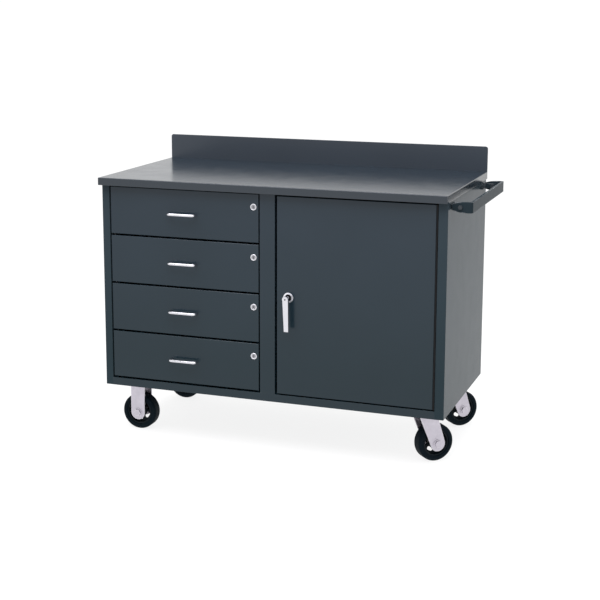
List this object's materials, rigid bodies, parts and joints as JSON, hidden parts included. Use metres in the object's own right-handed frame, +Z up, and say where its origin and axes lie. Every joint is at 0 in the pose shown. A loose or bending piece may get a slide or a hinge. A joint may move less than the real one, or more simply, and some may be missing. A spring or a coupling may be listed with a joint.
{
  "type": "workbench with drawers",
  "caption": "Mobile steel workbench with a backsplash, lockable drawers, a hinged cupboard door with a lever handle, a push handle, and rigid and swivel casters.",
  "frame": {"origin": "on the floor, under the middle of the whole bench's bounding box", "axes": "+X along the bench towards the push handle, +Y from the front to the backsplash, +Z up"},
  "size_m": [1.2862, 0.6242, 1.0033],
  "materials": {
    "body_paint": "satin powder coat, dark blue-grey",
    "chrome": "polished",
    "zinc_plate": "bright zinc plate",
    "galvanised": "galvanised sheet",
    "tyre": "moulded black rubber",
    "wheel_core": "painted black"
  },
  "bodies": {
    "cabinet": {"worktop": "body_paint", "backsplash": "body_paint", "left_side_panel": "body_paint", "right_side_panel": "body_paint", "back_panel": "body_paint", "base_pan": "body_paint", "top_rail": "body_paint", "centre_stile": "body_paint", "centre_partition": "body_paint", "slide_posts": "galvanised", "slide_rails": "galvanised", "shelf": "body_paint", "shelf_brackets": "galvanised", "caster_channels": "body_paint", "push_handle_brackets": "body_paint", "push_handle": "body_paint", "mounting_bolts": "zinc_plate", "hinge_frame_leaf": "body_paint", "rigid_caster_forks": "zinc_plate", "rigid_axle_bolts": "zinc_plate", "swivel_top_plates": "zinc_plate"},
    "door": {"door_skin": "body_paint", "door_inner_panel": "body_paint", "hinge_door_leaf": "body_paint", "handle_rose": "chrome"},
    "door_lever": {"lever_handle": "chrome", "latch_cam": "zinc_plate"},
    "drawer_1": {"drawer_1_front": "body_paint", "drawer_1_box": "galvanised", "drawer_1_pull": "chrome", "drawer_1_lock_body": "chrome"},
    "drawer_1_lock": {"drawer_1_lock_plug": "chrome"},
    "drawer_2": {"drawer_2_front": "body_paint", "drawer_2_box": "galvanised", "drawer_2_pull": "chrome", "drawer_2_lock_body": "chrome"},
    "drawer_2_lock": {"drawer_2_lock_plug": "chrome"},
    "drawer_3": {"drawer_3_front": "body_paint", "drawer_3_box": "galvanised", "drawer_3_pull": "chrome", "drawer_3_lock_body": "chrome"},
    "drawer_3_lock": {"drawer_3_lock_plug": "chrome"},
    "drawer_4": {"drawer_4_front": "body_paint", "drawer_4_box": "galvanised", "drawer_4_pull": "chrome", "drawer_4_lock_body": "chrome"},
    "drawer_4_lock": {"drawer_4_lock_plug": "chrome"},
    "front_yoke": {"front_swivel_yoke": "zinc_plate", "front_swivel_axle": "zinc_plate"},
    "front_right_wheel": {"front_right_tyre": "tyre", "front_right_wheel_core": "wheel_core"},
    "front_left_wheel": {"front_left_tyre": "tyre", "front_left_wheel_core": "wheel_core"},
    "rear_yoke": {"rear_swivel_yoke": "zinc_plate", "rear_swivel_axle": "zinc_plate"},
    "rear_right_wheel": {"rear_right_tyre": "tyre", "rear_right_wheel_core": "wheel_core"},
    "rear_left_wheel": {"rear_left_tyre": "tyre", "rear_left_wheel_core": "wheel_core"}
  },
  "joints": [
    {"name": "drawer_1_slide", "type": "slide", "parent": "cabinet", "child": "drawer_1", "axis": [0, -1, 0], "range_m": [0, 0.4]},
    {"name": "drawer_1_lock_turn", "type": "hinge", "parent": "drawer_1", "child": "drawer_1_lock", "pos_m": [-0.0815, -0.2751, 0.8398], "axis": [0, 1, 0], "range_deg": [-90, 0]},
    {"name": "drawer_2_slide", "type": "slide", "parent": "cabinet", "child": "drawer_2", "axis": [0, -1, 0], "range_m": [0, 0.4]},
    {"name": "drawer_2_lock_turn", "type": "hinge", "parent": "drawer_2", "child": "drawer_2_lock", "pos_m": [-0.0815, -0.2751, 0.6703], "axis": [0, 1, 0], "range_deg": [-90, 0]},
    {"name": "drawer_3_slide", "type": "slide", "parent": "cabinet", "child": "drawer_3", "axis": [0, -1, 0], "range_m": [0, 0.4]},
    {"name": "drawer_3_lock_turn", "type": "hinge", "parent": "drawer_3", "child": "drawer_3_lock", "pos_m": [-0.0815, -0.2751, 0.5008], "axis": [0, 1, 0], "range_deg": [-90, 0]},
    {"name": "drawer_4_slide", "type": "slide", "parent": "cabinet", "child": "drawer_4", "axis": [0, -1, 0], "range_m": [0, 0.4]},
    {"name": "drawer_4_lock_turn", "type": "hinge", "parent": "drawer_4", "child": "drawer_4_lock", "pos_m": [-0.0815, -0.2751, 0.3313], "axis": [0, 1, 0], "range_deg": [-90, 0]},
    {"name": "door_swing", "type": "hinge", "parent": "cabinet", "child": "door", "pos_m": [0.5394, -0.2751, 0.546], "axis": [0, 0, 1], "range_deg": [0, 170]},
    {"name": "lever_turn", "type": "hinge", "parent": "door", "child": "door_lever", "pos_m": [0.0421, -0.2751, 0.543], "axis": [0, 1, 0], "range_deg": [-90, 0]},
    {"name": "front_swivel", "type": "hinge", "parent": "cabinet", "child": "front_yoke", "pos_m": [0.4831, -0.1801, 0.172], "axis": [0, 0, 1], "continuous": true},
    {"name": "front_right_wheel_spin", "type": "hinge", "parent": "front_yoke", "child": "front_right_wheel", "pos_m": [0.51283, -0.15333, 0.0635], "axis": [-0.6691, 0.7431, 0], "continuous": true},
    {"name": "front_left_wheel_spin", "type": "hinge", "parent": "cabinet", "child": "front_left_wheel", "pos_m": [-0.5501, -0.1801, 0.0635], "axis": [0, 1, 0], "continuous": true},
    {"name": "rear_swivel", "type": "hinge", "parent": "cabinet", "child": "rear_yoke", "pos_m": [0.4831, 0.2141, 0.172], "axis": [0, 0, 1], "continuous": true},
    {"name": "rear_right_wheel_spin", "type": "hinge", "parent": "rear_yoke", "child": "rear_right_wheel", "pos_m": [0.51187, 0.24189, 0.0635], "axis": [-0.6947, 0.7193, 0], "continuous": true},
    {"name": "rear_left_wheel_spin", "type": "hinge", "parent": "cabinet", "child": "rear_left_wheel", "pos_m": [-0.5501, 0.2141, 0.0635], "axis": [0, 1, 0], "continuous": true}
  ]
}
